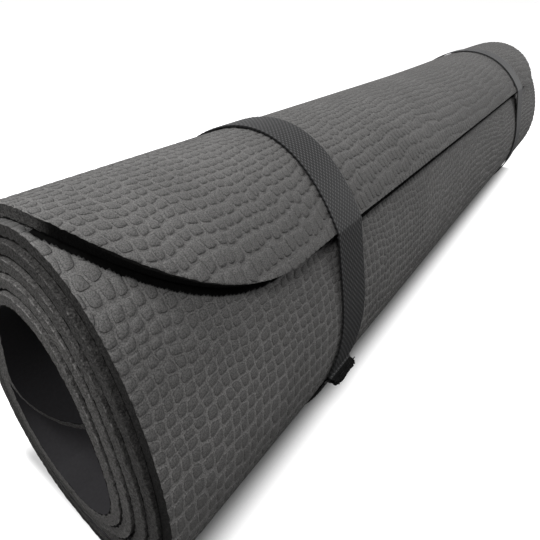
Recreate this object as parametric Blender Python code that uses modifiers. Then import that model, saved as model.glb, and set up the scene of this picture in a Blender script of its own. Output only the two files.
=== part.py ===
"""Foam camping mat, rolled up and held by two sewn elastic bands.

The mat is one closed-cell foam sheet with four large rounded corners, wound into a loose,
slightly oval roll.  The roll lies along Y with its open front end towards -Y, and stands on
the two bands that go round it.  Lengths are in metres, angles in degrees, +Z is up.
"""
import math

import bmesh
import bpy
import numpy as np
from mathutils import Vector
from mathutils.geometry import convex_hull_2d

# The foam sheet, as it lies flat.
MAT_WIDTH = 0.610
FOAM_THICKNESS = 0.0048
CORNER_RADIUS = 0.072

# The roll that it is wound into.  Angles are seen from the front end, counted from +X to +Z.
ROLL_RADIUS = 0.0685
OVAL_RISE = 0.0040
SAG_SWELL = 0.0020
FLAT_DEPTH = 0.0010
TURN_GAP = 0.0007
OUTER_EDGE_ANGLE = 39.7
INNER_EDGE_ANGLE = 283.0
FULL_TURNS = 5
STEPS_PER_TURN = 60
CORNER_STEPS = 10

# How far the turns have slipped along the roll's axis.
FLAP_SETBACK = 0.0015
CORE_PUSH = 0.004
OUTER_LEAN = 0.0040
INNER_LEAN = 0.0020
OUTER_LEAN_ANGLE = 115.0
INNER_LEAN_ANGLE = 180.0

# The elastic bands.  Each is a strip whose two ends are sewn face to face.
BAND_WIDTH = 0.0212
BAND_THICKNESS = 0.0012
BAND_CLEARANCE = 0.0003
FRONT_BAND_INSET = 0.0997
REAR_BAND_INSET = 0.1037
FRONT_BAND_LEAN = 0.0112
FRONT_BAND_LEAN_ANGLE = 99.0
FRONT_BAND_WAVE = 0.0018
FRONT_BAND_WAVE_ANGLE = 4.0
FRONT_BAND_WAVES = 4
SEAM_HEIGHT = 0.0065
SEAM_GAP = 0.0003
SEAM_BEND_RADIUS = 0.0009
SEAM_BEND_STEPS = 4
FRONT_SEAM_ANGLE = -22.0
REAR_SEAM_ANGLE = 205.0

# The thread of a seam, in running stitches through needle holes.
THREAD_DIAMETER = 0.0006
THREAD_CLEARANCE = 0.0003
THREAD_CORNER = 0.0003
NEEDLE_ROW_HEIGHT = 0.0034
STITCH_LENGTH = 0.0034
STITCHES = 5
NEEDLE_HOLE_SIDES = 12
CUT_OVERRUN = 0.001

PITCH = FOAM_THICKNESS + TURN_GAP
SWEEP = 360.0 * FULL_TURNS + INNER_EDGE_ANGLE - OUTER_EDGE_ANGLE


def outline_radius(sweep):
    """Radius of the outermost turn: an oval, swollen low down, as the loose roll sags."""
    angle = math.radians(OUTER_EDGE_ANGLE + sweep)
    section = ROLL_RADIUS - OVAL_RISE * math.cos(2 * angle) - SAG_SWELL * math.sin(3 * angle)
    return section + PITCH / 2 - PITCH * sweep / 360.0


def rest_depth():
    """Depth below the roll's axis at which its weight has pressed the lowest side flat."""
    sweeps = np.linspace(0.0, 360.0, 1441)
    depths = [-outline_radius(sweep) * math.sin(math.radians(OUTER_EDGE_ANGLE + sweep))
              for sweep in sweeps]
    return max(depths) - FLAT_DEPTH


REST_DEPTH = rest_depth()
AXIS_HEIGHT = REST_DEPTH + BAND_CLEARANCE + BAND_THICKNESS


def skin_radius(sweep):
    """Distance from the roll's axis to the sheet's outer skin, `sweep` degrees into the winding."""
    turn, within = divmod(sweep, 360.0)
    radius = outline_radius(within)
    downward = -math.sin(math.radians(OUTER_EDGE_ANGLE + within))
    if radius * downward > REST_DEPTH:
        radius = REST_DEPTH / downward
    return radius - PITCH * turn


def skin_point(sweep):
    """Point of the sheet's outer skin across the roll, as (x, z) from the roll's axis."""
    angle = math.radians(OUTER_EDGE_ANGLE + sweep)
    radius = skin_radius(sweep)
    return np.array([radius * math.cos(angle), radius * math.sin(angle)])


def slip(sweep):
    """How far the sheet has slipped towards +Y, `sweep` degrees into the winding."""
    share = sweep / SWEEP
    lean = OUTER_LEAN + (INNER_LEAN - OUTER_LEAN) * share
    lean_angle = OUTER_LEAN_ANGLE + (INNER_LEAN_ANGLE - OUTER_LEAN_ANGLE) * share
    setback = FLAP_SETBACK * (1 + math.cos(math.pi * min(sweep / 360.0, 1.0))) / 2
    push = CORE_PUSH * max(sweep - 360.0, 0.0) / (SWEEP - 360.0)
    return lean * math.cos(math.radians(OUTER_EDGE_ANGLE + sweep - lean_angle)) + setback - push


def winding_sweeps():
    """Stations along the winding, closer together over the rounded corners."""
    fine = np.linspace(0.0, SWEEP, int(SWEEP) * 2)
    points = np.array([skin_point(sweep) for sweep in fine])
    length = np.concatenate([[0.0], np.cumsum(np.linalg.norm(np.diff(points, axis=0), axis=1))])
    turns = np.radians(np.linspace(0.0, 90.0, CORNER_STEPS + 1))
    corner = CORNER_RADIUS * (1 - np.cos(turns))
    outer = np.interp(corner, length, fine)
    inner = np.interp(length[-1] - corner[::-1], length, fine)
    step = 360.0 / STEPS_PER_TURN
    even = np.arange(0.0, SWEEP, step)
    middle = even[(even > outer[-1] + step / 2) & (even < inner[0] - step / 2)]
    sweeps = np.concatenate([outer, middle, inner])
    return sweeps, np.interp(sweeps, fine, length)


def corner_inset(along, sheet_length):
    """How far a rounded corner draws the sheet's long edge in, `along` the sheet."""
    from_end = min(along, sheet_length - along)
    reach = max(CORNER_RADIUS - from_end, 0.0)
    return CORNER_RADIUS - math.sqrt(max(CORNER_RADIUS ** 2 - reach ** 2, 0.0))


def sheet_edges():
    """Stations of the winding with the two Y values between which the sheet lies there."""
    sweeps, along = winding_sweeps()
    inset = np.array([corner_inset(place, along[-1]) for place in along])
    shift = np.array([slip(sweep) for sweep in sweeps])
    return sweeps, along[-1], inset + shift, MAT_WIDTH - inset + shift


def hull_across(offset):
    """The tight line round the roll, `offset` outside its skin, counter-clockwise."""
    sweeps = np.arange(0.0, 360.0 + 360.0 / STEPS_PER_TURN / 2, 360.0 / STEPS_PER_TURN)
    points = [Vector(skin_point(sweep)) for sweep in sweeps]
    hull = [points[index] for index in convex_hull_2d(points)]
    area = sum(a.x * b.y - b.x * a.y for a, b in zip(hull, hull[1:] + hull[:1]))
    if area < 0:
        hull.reverse()
    moved = []
    for before, here, after in zip(hull[-1:] + hull[:-1], hull, hull[1:] + hull[:1]):
        first = (here - before).normalized()
        second = (after - here).normalized()
        out = Vector((first.y + second.y, -first.x - second.x)).normalized()
        moved.append(here + out * offset / math.cos(first.angle(second) / 2))
    return moved


def band_path(seam_angle):
    """Middle line of a band across the roll, from one sewn end round to the other."""
    ring = hull_across(BAND_CLEARANCE + BAND_THICKNESS / 2)
    direction = Vector((math.cos(math.radians(seam_angle)), math.sin(math.radians(seam_angle))))
    start = next(i for i in range(len(ring)) if crosses(ring[i - 1], ring[i], direction))
    ring = ring[start:] + ring[:start]
    tangent = (ring[0] - ring[-1]).normalized()
    outward = Vector((tangent.y, -tangent.x))
    seam = ring[-1] + tangent * split_along(ring[-1], ring[0], direction)
    leg = (SEAM_GAP + BAND_THICKNESS) / 2
    foot = leg + SEAM_BEND_RADIUS
    body = [point for point in ring if (point - seam).length > foot + BAND_THICKNESS]
    turns = [math.radians(90.0 * i / SEAM_BEND_STEPS) for i in range(SEAM_BEND_STEPS + 1)]
    bend = [(foot - SEAM_BEND_RADIUS * math.sin(turn), SEAM_BEND_RADIUS * (1 - math.cos(turn)))
            for turn in turns]
    tip = (leg, SEAM_HEIGHT)
    first_end = [seam + tangent * side + outward * rise for side, rise in [tip] + bend[::-1]]
    last_end = [seam - tangent * side + outward * rise for side, rise in bend + [tip]]
    return first_end + body + last_end, seam, tangent, outward


def front_band_drift(angle):
    """How far the front band, put on askew, lies towards +Y at an angle round the roll."""
    lean = FRONT_BAND_LEAN * math.cos(math.radians(angle - FRONT_BAND_LEAN_ANGLE))
    turned = FRONT_BAND_WAVES * (angle - FRONT_BAND_WAVE_ANGLE)
    return lean + FRONT_BAND_WAVE * math.cos(math.radians(turned))


def rear_band_drift(angle):
    """The rear band lies straight across the roll."""
    return 0.0


def seam_tips(seam_angle):
    """The two outermost corners of a band's sewn ends."""
    seam, tangent, outward = band_path(seam_angle)[1:]
    tip = seam + outward * SEAM_HEIGHT
    half_stack = SEAM_GAP / 2 + BAND_THICKNESS
    return [tip + tangent * half_stack, tip - tangent * half_stack]


def crosses(first, second, direction):
    """Whether the side from `first` to `second` crosses the ray along `direction`."""
    ahead = first.dot(direction) > 0
    return ahead and direction.cross(first) <= 0 < direction.cross(second)


def split_along(first, second, direction):
    """Distance from `first` to where the side towards `second` meets the ray."""
    below = -direction.cross(first)
    above = direction.cross(second)
    return (second - first).length * below / (below + above)


def foam_material():
    return plain_material("charcoal_eva_foam", (0.085, 0.085, 0.083), 0.92)


def elastic_material():
    return plain_material("black_woven_elastic", (0.028, 0.028, 0.030), 0.80)


def thread_material():
    return plain_material("black_sewing_thread", (0.015, 0.015, 0.016), 0.60)


def plain_material(name, colour, roughness):
    material = bpy.data.materials.new(name)
    material.use_nodes = True
    shader = material.node_tree.nodes["Principled BSDF"]
    shader.inputs["Base Color"].default_value = (*colour, 1.0)
    shader.inputs["Roughness"].default_value = roughness
    shader.inputs["Metallic"].default_value = 0.0
    material.diffuse_color = (*colour, 1.0)
    return material


def new_collection(name):
    collection = bpy.data.collections.new(name)
    bpy.context.scene.collection.children.link(collection)
    return collection


def add_object(name, data, collection, material=None):
    made = bpy.data.objects.new(name, data)
    collection.objects.link(made)
    if material is not None:
        data.materials.append(material)
    return made


def wound_sheet(collection, centre):
    """The mat: a flat grid wound into its roll, then thickened inwards from its outer skin."""
    sweeps, sheet_length, front, back = sheet_edges()
    grid = bmesh.new()
    bmesh.ops.create_grid(grid, x_segments=len(sweeps) - 1, y_segments=2, size=1.0)
    for vertex in grid.verts:
        station = round((vertex.co.x + 1) / 2 * (len(sweeps) - 1))
        across = (vertex.co.y + 1) / 2
        x, z = skin_point(sweeps[station])
        y = front[station] + (back[station] - front[station]) * across
        vertex.co = Vector((x, y - MAT_WIDTH / 2, z)) + centre
    mesh = bpy.data.meshes.new("mat")
    grid.to_mesh(mesh)
    grid.free()
    mat = add_object("mat", mesh, collection, foam_material())
    shell = mat.modifiers.new("foam_thickness", "SOLIDIFY")
    shell.thickness = FOAM_THICKNESS
    shell.offset = 1.0
    shell.use_even_offset = True
    shell.use_rim = True
    print("sheet length %.3f m, %.2f turns" % (sheet_length, SWEEP / 360.0))
    return mat


def elastic_band(name, collection, centre, near_edge, seam_angle, drift):
    """A band: its middle line drawn along Y as an open strip, then given its thickness."""
    path, seam, tangent, outward = band_path(seam_angle)
    edge = [near_edge + drift(math.degrees(math.atan2(point.y, point.x))) for point in path]
    strip = bmesh.new()
    line = [strip.verts.new(Vector((point.x, y, point.y)) + centre)
            for point, y in zip(path, edge)]
    edges = [strip.edges.new(pair) for pair in zip(line, line[1:])]
    drawn = bmesh.ops.extrude_edge_only(strip, edges=edges)["geom"]
    moved = [item for item in drawn if isinstance(item, bmesh.types.BMVert)]
    bmesh.ops.translate(strip, verts=moved, vec=Vector((0.0, BAND_WIDTH, 0.0)))
    mesh = bpy.data.meshes.new(name)
    strip.to_mesh(mesh)
    strip.free()
    band = add_object(name, mesh, collection, elastic_material())
    shell = band.modifiers.new("band_thickness", "SOLIDIFY")
    shell.thickness = BAND_THICKNESS
    shell.offset = 0.0
    shell.use_even_offset = True
    shell.use_rim = True
    row = SeamRow(seam, tangent, outward, centre, near_edge + drift(seam_angle))
    return band, row


class SeamRow:
    """The row of needle holes across a band's two sewn ends."""

    def __init__(self, seam, tangent, outward, centre, near_edge):
        self.tangent = Vector((tangent.x, 0.0, tangent.y))
        middle = seam + outward * NEEDLE_ROW_HEIGHT
        margin = (BAND_WIDTH - STITCHES * STITCH_LENGTH) / 2
        self.start = Vector((middle.x, near_edge + margin, middle.y)) + centre
        self.half_stack = SEAM_GAP / 2 + BAND_THICKNESS

    def point(self, along, side):
        return self.start + Vector((0.0, along, 0.0)) + self.tangent * side


def needle_holes(band, row, cutters):
    """Round holes through both sewn ends, one at each end of every stitch."""
    holes = bmesh.new()
    depth = 2 * (row.half_stack + CUT_OVERRUN)
    radius = THREAD_DIAMETER / 2 + THREAD_CLEARANCE
    turn = row.tangent.to_track_quat("Z", "Y").to_matrix().to_4x4()
    for index in range(STITCHES + 1):
        turn.translation = row.point(index * STITCH_LENGTH, 0.0)
        bmesh.ops.create_cone(holes, cap_ends=True, segments=NEEDLE_HOLE_SIDES, radius1=radius,
                              radius2=radius, depth=depth, matrix=turn)
    mesh = bpy.data.meshes.new(band.name + "_needle_holes")
    holes.to_mesh(mesh)
    holes.free()
    cutter = add_object(mesh.name, mesh, cutters)
    cutter.display_type = "WIRE"
    cutter.hide_render = True
    cut = band.modifiers.new("needle_holes", "BOOLEAN")
    cut.operation = "DIFFERENCE"
    cut.solver = "EXACT"
    cut.object = cutter


def seam_thread(name, collection, row):
    """One thread that runs in and out through the needle holes."""
    side = row.half_stack + THREAD_CLEARANCE + THREAD_DIAMETER / 2
    corner = THREAD_CORNER
    points = [row.point(-STITCH_LENGTH / 2, side), row.point(-corner, side)]
    for index in range(STITCHES + 1):
        along = index * STITCH_LENGTH
        if index > 0:
            points.append(row.point(along - corner, side))
        points.append(row.point(along, side - math.copysign(corner, side)))
        side = -side
        points.append(row.point(along, side - math.copysign(corner, side)))
        points.append(row.point(along + corner, side))
    points.append(row.point(STITCHES * STITCH_LENGTH + STITCH_LENGTH / 2, side))
    curve = bpy.data.curves.new(name, "CURVE")
    curve.dimensions = "3D"
    curve.bevel_depth = THREAD_DIAMETER / 2
    curve.bevel_resolution = 2
    curve.use_fill_caps = True
    spline = curve.splines.new("POLY")
    spline.points.add(len(points) - 1)
    for place, point in zip(spline.points, points):
        place.co = (*point, 1.0)
    return add_object(name, curve, collection, thread_material())


def least_turn_gap(mat):
    """Least distance between two turns, from the points of the finished sheet."""
    solid = mat.evaluated_get(bpy.context.evaluated_depsgraph_get()).to_mesh()
    count = len(mat.data.vertices)
    places = np.array([(vertex.co.x, vertex.co.z) for vertex in solid.vertices])
    columns = 3
    stations = count // columns
    skins = [places[:stations], places[count:count + stations]]
    inner, outer = sorted(skins, key=lambda skin: np.linalg.norm(skin, axis=1).mean())
    sweeps = sheet_edges()[0]
    least = math.inf
    for sweep, point in zip(sweeps, inner):
        near = np.flatnonzero(sweeps[:-1] > sweep + 180.0)
        if len(near) == 0:
            break
        first = outer[near]
        run = outer[near + 1] - first
        share = ((point - first) * run).sum(axis=1) / (run * run).sum(axis=1)
        foot = first + run * np.clip(share, 0.0, 1.0)[:, None]
        least = min(least, np.linalg.norm(point - foot, axis=1).min())
    return least


def middle_of(values):
    return (min(values) + max(values)) / 2


def main():
    for old in list(bpy.data.objects):
        bpy.data.objects.remove(old, do_unlink=True)
    collection = new_collection("foam_camping_mat")
    cutters = new_collection("cutters")
    around = hull_across(BAND_CLEARANCE + BAND_THICKNESS)
    around += seam_tips(FRONT_SEAM_ANGLE) + seam_tips(REAR_SEAM_ANGLE)
    front, back = sheet_edges()[2:]
    across = middle_of([point.x for point in around])
    along = middle_of([*front, *back]) - MAT_WIDTH / 2
    centre = Vector((-across, -along, AXIS_HEIGHT))
    mat = wound_sheet(collection, centre)
    bands = {
        "front_band": (FRONT_BAND_INSET, FRONT_SEAM_ANGLE, front_band_drift),
        "rear_band": (MAT_WIDTH - REAR_BAND_INSET - BAND_WIDTH, REAR_SEAM_ANGLE,
                      rear_band_drift),
    }
    for name, (inset, seam_angle, drift) in bands.items():
        near_edge = inset - MAT_WIDTH / 2
        band, row = elastic_band(name, collection, centre, near_edge, seam_angle, drift)
        needle_holes(band, row, cutters)
        seam_thread(name + "_thread", collection, row)
    bpy.context.view_layer.update()
    print("least gap between turns %.3f mm" % (least_turn_gap(mat) * 1000))


main()
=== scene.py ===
"""Rolled foam camping mat, laid out as an add-on and run as a script.

The foam sheet is drawn flat, embossed, and wound along the roll's spiral.  The elastic bands
are drawn flat too, woven, and wound round the roll to their sewn ends.  Lengths are in metres,
angles in degrees.  Angles across the roll are seen from its front end, from +X to +Z.
"""

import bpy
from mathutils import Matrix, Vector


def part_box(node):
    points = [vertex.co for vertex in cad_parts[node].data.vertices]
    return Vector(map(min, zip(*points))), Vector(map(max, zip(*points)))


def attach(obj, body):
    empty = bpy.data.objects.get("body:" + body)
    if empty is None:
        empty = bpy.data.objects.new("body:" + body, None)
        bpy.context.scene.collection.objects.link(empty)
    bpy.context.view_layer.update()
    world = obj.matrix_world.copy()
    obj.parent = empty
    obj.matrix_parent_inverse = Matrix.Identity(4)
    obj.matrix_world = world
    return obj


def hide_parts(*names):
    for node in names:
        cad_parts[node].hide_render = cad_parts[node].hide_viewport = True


bl_info = {
    "name": "Rolled foam camping mat",
    "version": (1, 0, 0),
    "blender": (4, 5, 0),
    "location": "View3D > Sidebar > Camping mat",
    "description": "Builds a rolled, embossed foam mat with woven elastic bands, and its stage",
    "category": "Add Mesh",
}

from functools import partial
import math

import bmesh
import bpy
import numpy as np
from mathutils import Vector
from mathutils.geometry import convex_hull_2d

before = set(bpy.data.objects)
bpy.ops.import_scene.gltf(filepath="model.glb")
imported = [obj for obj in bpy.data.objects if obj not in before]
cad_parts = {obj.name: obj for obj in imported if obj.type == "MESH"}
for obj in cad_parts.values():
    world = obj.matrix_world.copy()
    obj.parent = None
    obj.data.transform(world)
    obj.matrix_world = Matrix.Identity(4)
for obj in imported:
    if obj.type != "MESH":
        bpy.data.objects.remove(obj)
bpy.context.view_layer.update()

# The winding, in the part's own sizes.
MAT_WIDTH = 0.610
CORNER_RADIUS = 0.072
ROLL_RADIUS = 0.0685
OVAL_RISE = 0.0040
SAG_SWELL = 0.0020
FLAT_DEPTH = 0.0010
PITCH = 0.0055
OUTER_EDGE_ANGLE = 39.7
INNER_EDGE_ANGLE = 283.0
FULL_TURNS = 5
SWEEP = 360.0 * FULL_TURNS + INNER_EDGE_ANGLE - OUTER_EDGE_ANGLE
FLAP_SETBACK = 0.0015
CORE_PUSH = 0.004
OUTER_LEAN = 0.0040
INNER_LEAN = 0.0020
OUTER_LEAN_ANGLE = 115.0
INNER_LEAN_ANGLE = 180.0

# The bands, in the part's own sizes.
BAND_WIDTH = 0.0212
BAND_CLEARANCE = 0.0003
BAND_THICKNESS = 0.0012
BAND_INSETS = {"front_band": 0.0997, "rear_band": MAT_WIDTH - 0.1037 - BAND_WIDTH}
SEAM_ANGLES = {"front_band": -22.0, "rear_band": 205.0}
SEAM_HEIGHT = 0.0065
SEAM_GAP = 0.0003
SEAM_BEND_RADIUS = 0.0009
NEEDLE_ROW_HEIGHT = 0.0034
STITCH_LENGTH = 0.0034
STITCHES = 5
THREAD_DIAMETER = 0.0006
THREAD_CLEARANCE = 0.0003
THREAD_CORNER = 0.0003
FRONT_BAND_LEAN = 0.0112
FRONT_BAND_LEAN_ANGLE = 99.0
FRONT_BAND_WAVE = 0.0018
FRONT_BAND_WAVE_ANGLE = 4.0
FRONT_BAND_WAVES = 4

# The bands' raw ends: trimmed a little shorter than the part allows for, frayed over this
# length, torn back by up to this much, spread apart and drawn in by the stitches.
TRIMMED = 0.0022
RAW_LENGTH = 0.0030
RAGGED = 0.0012
END_SPLAY = 0.0003
DRAWN_IN = 0.16
THREAD_LAY = 0.0016

# Mesh steps of the flat sheet: fine on the outermost turn, which shows, coarse on the rest.
PATH_STEP = 1.5
ONE_TURN = np.linspace(0.0, 360.0, 1441)
FINE_STEPS = ((0.112, 0.0007), (0.335, 0.0013), (0.460, 0.0007), (0.560, 0.0013))
COARSE_STATION = 0.0014
NEAR_ROW = 0.0007
FAR_ROW = 0.0014
NEAR_SHARE = 0.34
EDGE_ROWS = (0.0, 0.0005, 0.0013)
COARSE_ROWS = (0.003, 0.006, 0.012, 0.030, 0.080)
COARSE_SHARES = (0.0, 0.25, 0.5, 0.75, 1.0)
BACK_SHARES = (0.0, 0.1, 0.3, 0.5, 0.7, 0.9, 1.0)
EDGE_LEAD = 1.6
TORN_ROWS = 4
CUT_SHARES = (0.10, 0.26, 0.42, 0.58, 0.74, 0.90)
LEANING_END = (0.35, 0.45)

# Mesh steps of the bands: round the roll, in a sewn end's bend and tip, and in the weave.
HULL_STEP = 3.0
LINE_STEP = 0.0005
BEND_STEPS = 6
TIP_STEPS = 4
ROWS_PER_RIB = 3
STATIONS_PER_REPEAT = 6

# Looseness of the real roll: air between the turns, slip along the axis, the flap's lift, and
# the rear end, which opens out a little past its band.  A wave is a rate and a shift.
TURN_WOBBLE = 0.00008
TURN_WAVES = ((1.37, 0.0), (3.71, 50.0))
EDGE_WOBBLE = 0.00035
EDGE_WAVES = ((0.83, 20.0), (2.29, 0.0))
FLAP_LIFT = 0.0022
LIFT_REACH = 0.055
LIFT_WIDTHS = 1.6
FLARE_START = 0.30
FLARE = 1.028
CUT_ROUGHNESS = 0.0006

# The painted shadow in the corner beside the flap: its width at places across the sheet, how far
# it goes on under the flap, where it fades at the front, and from how close to the flap's edge a
# face gets a nearly black material of its own.
UNDER_FLAP_REACH = ((0.070, 0.0014), (0.120, 0.0050))
UNDER_FLAP = 0.01
FADE_START = 0.045
FADE_RUN = 0.014
FADE = 0.75
SHADOW_MATERIAL_FROM = 0.45

# How the embossing's rows wander: waves per metre along and across the sheet, and how far.
ROW_WANDER = (((6.0, 7.0, 0.0), (0.018, 0.010, 0.0)), ((60.0, 60.0, 0.0), (0.0035, 0.0035, 0.0)))
ROW_CYCLE = 0.093
ROW_START = 0.015
ROW_SWING = 1.05
PAD_RANDOMNESS = 0.34

# Patterns in repeats to a metre, so that 2000 is a grain of 0.5 mm.  Foam cells of 0.2 mm and
# fibres of 0.02 mm are too fine to show, and are drawn as coarse as they need to.
SKIN_GRAIN = 2000.0
SKIN_CLOUDS = 26.0
DIRT_GRAIN = 1500.0
CUT_CELLS = 1300.0
CUT_TEARS = 650.0
CUT_STREAKS = 260.0
CUT_LAYERS = 4.5
BACK_GRAIN = 900.0
YARN_FIBRES = 2600.0
THREAD_FIBRES = 4000.0
FRAYED_LOBES = 210.0

# How light the cut is along the sheet: from a place to another, from one level to another.
CUT_LEVELS = ((0.15, 0.35, 1.0, 0.14), (0.38, 0.52, 1.0, 5.0), (0.80, 1.60, 1.0, 2.0))

# The lamps: where from the roll's middle, what each is aimed at, its side and its setting.
LAMPS = {
    "key_lamp": ((-0.65, -0.60, 1.20), (0.0, 0.0, 0.0), 0.3, "key_power"),
    "front_lamp": ((0.35, -0.95, 1.10), (0.0, 0.0, 0.0), 0.3, "front_power"),
    "fill_lamp": ((0.9, 1.1, 0.5), (0.0, 0.1, 0.0), 0.8, "fill_power"),
}
FLOOR_SIDE = 40.0
# The floor's glow fades out round the roll's footprint, which paints a shadow there: the
# footprint's half width, the painted shadow's reach, and how much shorter it reaches past the
# ends.
FOOTPRINT_HALF = 0.043
SHADOW_REACH = 0.020
END_SHADOW = 3.0

# The camera, from the roll's axis at its front end.
CAMERA_PLACE = (0.1200, -0.0432, 0.1287)
CAMERA_AZIMUTH = 38.52
CAMERA_ELEVATION = 29.17
CAMERA_LENS_MM = 29.05
CAMERA_SENSOR_MM = 36.0
PHOTO_SIDE_PX = 540.0
VIEW_CENTRE_PX = (240.56, 240.27)

# Kinds of nodes that come up often.
MATH = "ShaderNodeMath"
VECTORS = "ShaderNodeVectorMath"
NOISE = "ShaderNodeTexNoise"
BUMP = "ShaderNodeBump"
SPLIT = "ShaderNodeSeparateXYZ"
JOIN = "ShaderNodeCombineXYZ"
COORDINATES = "ShaderNodeTexCoord"
SET_POSITION = "GeometryNodeSetPosition"
STORE = "GeometryNodeStoreNamedAttribute"
NAMED = "GeometryNodeInputNamedAttribute"


def outline_radius(sweep):
    """Radius of the outermost turn: an oval, swollen low down, as the loose roll sags."""
    angle = np.radians(OUTER_EDGE_ANGLE + sweep)
    section = ROLL_RADIUS - OVAL_RISE * np.cos(2 * angle) - SAG_SWELL * np.sin(3 * angle)
    return section + PITCH / 2 - PITCH * sweep / 360.0


def rest_depth():
    """Depth below the roll's axis of the flat that the roll lies on."""
    depths = -outline_radius(ONE_TURN) * np.sin(np.radians(OUTER_EDGE_ANGLE + ONE_TURN))
    return depths.max() - FLAT_DEPTH


REST_DEPTH = rest_depth()


def wobble(sweeps, waves):
    """A wandering line: a slow wave, and half as much of a quick one."""
    slow, quick = [np.sin(np.radians(sweeps * rate + shift)) for rate, shift in waves]
    return slow + quick / 2


def skin_line(sweeps):
    """Points (x, z) of the sheet's outer skin from the roll's axis, at these sweeps in degrees."""
    turns, within = np.divmod(sweeps, 360.0)
    radius = outline_radius(within)
    downward = -np.sin(np.radians(OUTER_EDGE_ANGLE + within))
    pressed = radius * downward > REST_DEPTH
    radius = np.where(pressed, REST_DEPTH / np.where(pressed, downward, 1.0), radius)
    loose = TURN_WOBBLE * wobble(sweeps, TURN_WAVES) * np.clip(turns, 0.0, 1.0)
    radius = radius - PITCH * turns - loose
    angle = np.radians(OUTER_EDGE_ANGLE + sweeps)
    return np.stack([radius * np.cos(angle), radius * np.sin(angle)], axis=1)


def slip(sweeps):
    """How far the sheet has slipped towards +Y, at these sweeps in degrees."""
    share = sweeps / SWEEP
    lean = OUTER_LEAN + (INNER_LEAN - OUTER_LEAN) * share
    lean_angle = OUTER_LEAN_ANGLE + (INNER_LEAN_ANGLE - OUTER_LEAN_ANGLE) * share
    setback = FLAP_SETBACK * (1 + np.cos(np.pi * np.minimum(sweeps / 360.0, 1.0))) / 2
    push = CORE_PUSH * np.maximum(sweeps - 360.0, 0.0) / (SWEEP - 360.0)
    loose = EDGE_WOBBLE * wobble(sweeps, EDGE_WAVES) * np.clip(sweeps / 360.0 - 0.5, 0.0, 1.0)
    leaned = lean * np.cos(np.radians(OUTER_EDGE_ANGLE + sweeps - lean_angle))
    return leaned + setback - push + loose


def band_drift(name, angles):
    """How far a band lies towards +Y at these angles: the front one was put on askew."""
    if name != "front_band":
        return np.zeros_like(angles)
    lean = FRONT_BAND_LEAN * np.cos(np.radians(angles - FRONT_BAND_LEAN_ANGLE))
    turned = FRONT_BAND_WAVES * (angles - FRONT_BAND_WAVE_ANGLE)
    return lean + FRONT_BAND_WAVE * np.cos(np.radians(turned))


def roll_axis():
    """Where the roll's axis crosses the sheet's front edge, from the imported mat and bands."""
    low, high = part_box("mat")
    band_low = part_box("rear_band")[0]
    line = skin_line(ONE_TURN)
    across = (low.x + high.x) / 2 - (line[:, 0].min() + line[:, 0].max()) / 2
    along = band_low.y - BAND_INSETS["rear_band"]
    height = band_low.z + BAND_THICKNESS + BAND_CLEARANCE + REST_DEPTH
    return Vector((across, along, height))


AXIS = roll_axis()


def linear(colour):
    """An sRGB hex colour as linear red, green and blue."""
    parts = [int(colour[place:place + 2], 16) / 255.0 for place in (0, 2, 4)]
    return tuple(part / 12.92 if part <= 0.04045 else ((part + 0.055) / 1.055) ** 2.4
                 for part in parts)


def length_setting(name, description, default, most):
    return bpy.props.FloatProperty(name=name, description=description, default=default,
                                   min=0.0, max=most, precision=5, unit="LENGTH")


def colour_setting(name, description, default):
    return bpy.props.FloatVectorProperty(name=name, description=description, size=3,
                                         default=linear(default), min=0.0, max=1.0,
                                         subtype="COLOR")


def light_setting(name, description, default, unit="POWER"):
    return bpy.props.FloatProperty(name=name, description=description, default=default,
                                   min=0.0, unit=unit)


class FoamSizes(bpy.types.PropertyGroup):
    """Sizes and colours of the foam sheet."""

    thickness: length_setting("Thickness", "Thickness of the foam sheet", 0.00515, 0.0054)
    emboss_depth: length_setting("Emboss depth", "Depth of the channels between the pads",
                                 0.00040, 0.001)
    pad_length: length_setting("Pad length", "Usual size of a pad along the sheet", 0.0049, 0.02)
    pad_width: length_setting("Pad width", "Usual size of a pad across the sheet", 0.0043, 0.02)
    channel: length_setting("Channel", "Width of the channels between the pads", 0.00044, 0.003)
    undercut: length_setting("Undercut", "How far the flap's cut edge leans inwards",
                             0.0001, 0.004)
    skin_colour: colour_setting("Skin", "Colour of the foam's embossed skin", "656463")
    cut_colour: colour_setting("Cut face", "Colour of the cut foam", "504F4E")
    back_colour: colour_setting("Back", "Colour of the foam's smooth back", "29282A")


class BandSizes(bpy.types.PropertyGroup):
    """Sizes and colours of the elastic bands."""

    rib: length_setting("Rib spacing", "Distance between the lengthwise ribs", 0.00118, 0.004)
    weave: length_setting("Weave repeat", "Length after which a rib's weave repeats",
                          0.0025, 0.006)
    relief: length_setting("Relief", "Height of the weave", 0.00022, 0.0005)
    yarn_colour: colour_setting("Yarn", "Colour of the elastic's yarn", "565657")
    gap_colour: colour_setting("Gaps", "Colour between the yarns", "0C0C0D")
    worn_colour: colour_setting("Stretched gaps", "Colour between the rear band's yarns",
                                "3A3A3B")
    # Painted shade in part: the raw ends are near black, partly their own cut darkness and partly
    # for the shade low on the roll where they sit.
    end_colour: colour_setting("Raw ends", "Colour of the frayed ends", "060606")
    thread_colour: colour_setting("Thread", "Colour of the sewing thread", "121213")


class StageSizes(bpy.types.PropertyGroup):
    """Light levels of the studio."""

    key_power: light_setting("Key lamp", "Power of the soft lamp above", 14.5)
    front_power: light_setting("Front lamp", "Power of the lamp at the front", 6.5)
    fill_power: light_setting("Fill lamp", "Power of the fill lamp", 5.5)
    ambient: light_setting("Ambient", "Strength of the room's own light", 0.14, "NONE")


def connect(node, inputs):
    """Sets or links a node's inputs, which are given in their order or by name."""
    for place, value in inputs.items() if isinstance(inputs, dict) else enumerate(inputs):
        if isinstance(value, bpy.types.NodeSocket):
            node.id_data.links.new(value, node.inputs[place])
        else:
            node.inputs[place].default_value = value


def add_node(tree, kind, inputs=(), **settings):
    """Adds a node with its settings and links, and gives its outputs."""
    made = tree.nodes.new(kind)
    for name, value in settings.items():
        setattr(made, name, value)
    connect(made, inputs)
    return made.outputs


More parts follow.
